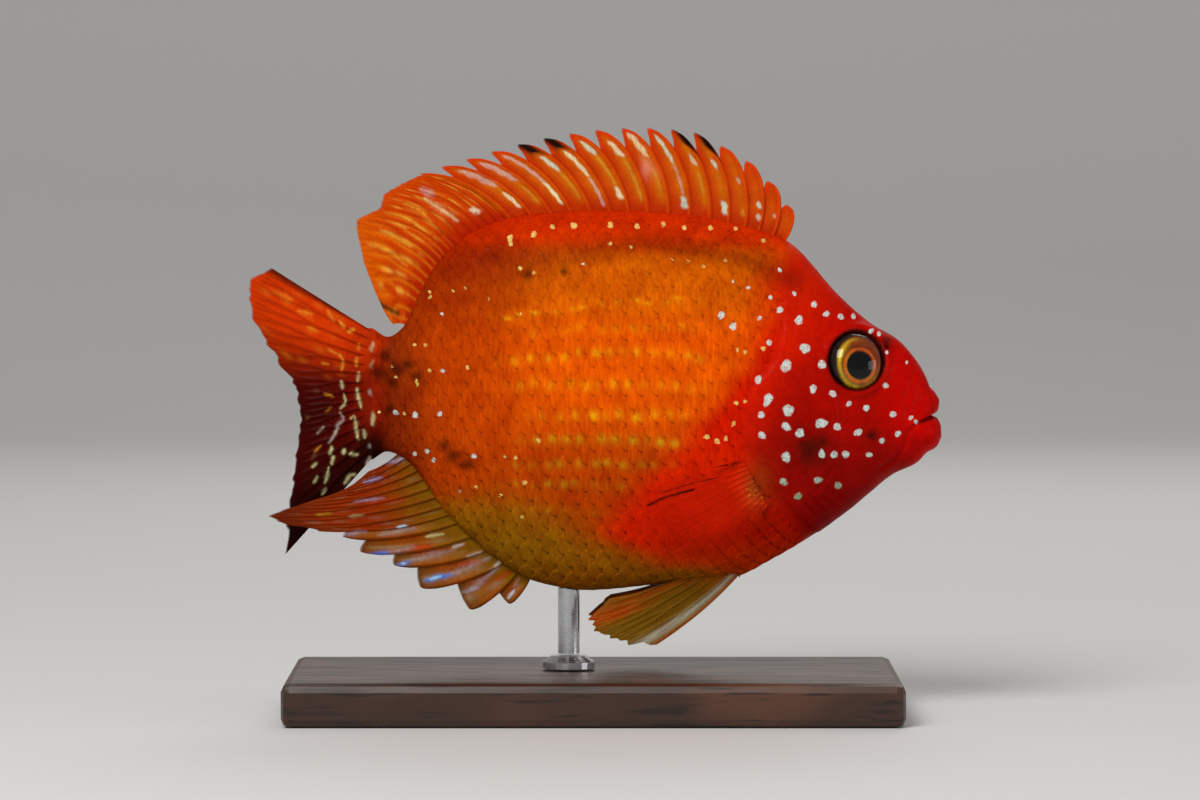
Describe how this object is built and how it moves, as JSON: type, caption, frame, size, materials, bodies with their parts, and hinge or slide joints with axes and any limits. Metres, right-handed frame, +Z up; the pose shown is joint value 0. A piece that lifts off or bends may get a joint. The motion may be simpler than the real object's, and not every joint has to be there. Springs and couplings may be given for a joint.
{
  "type": "blood parrot cichlid",
  "caption": "Deep-bodied red-orange aquarium fish with pale pearl spots, spiny dorsal and anal fins and a small thick-lipped mouth, as a still life-size model on a plain stand.",
  "frame": {"origin": "middle of the underside of the stand's base, below the middle of the fish's length", "axes": "+X towards the snout, +Y towards the fish's left side, +Z up"},
  "size_m": [0.0957, 0.044, 0.0807],
  "materials": {
    "head_skin": "wet-looking painted skin, saturated red with pearl spots",
    "body_skin": "painted scales, orange with rows of yellow spots",
    "eye": "gold iris and black pupil under a clear gloss coat",
    "dorsal_fin": "thin orange web with pearly streaks",
    "tail_fin": "thin dark red web with pale wavy lines",
    "anal_fin": "thin olive to orange web with blue-white streaks",
    "pectoral_fin": "thin see-through red web",
    "pelvic_fin": "thin see-through yellow web",
    "stand_wood": "oiled dark wood",
    "stand_steel": "satin steel"
  },
  "bodies": {
    "root": {"head": "head_skin", "gill_cover_left": "head_skin", "gill_cover_right": "head_skin", "torso": "body_skin", "tail_stem": "body_skin", "eye_left": "eye", "eye_right": "eye", "dorsal_fin_spiny": "dorsal_fin", "dorsal_fin_soft": "dorsal_fin", "caudal_fin": "tail_fin", "anal_fin": "anal_fin", "pectoral_fin_left": "pectoral_fin", "pectoral_fin_right": "pectoral_fin", "pelvic_fin_left": "pelvic_fin", "pelvic_fin_right": "pelvic_fin", "stand_base": "stand_wood", "stand_collar": "stand_steel", "stand_rod": "stand_steel"}
  },
  "joints": []
}
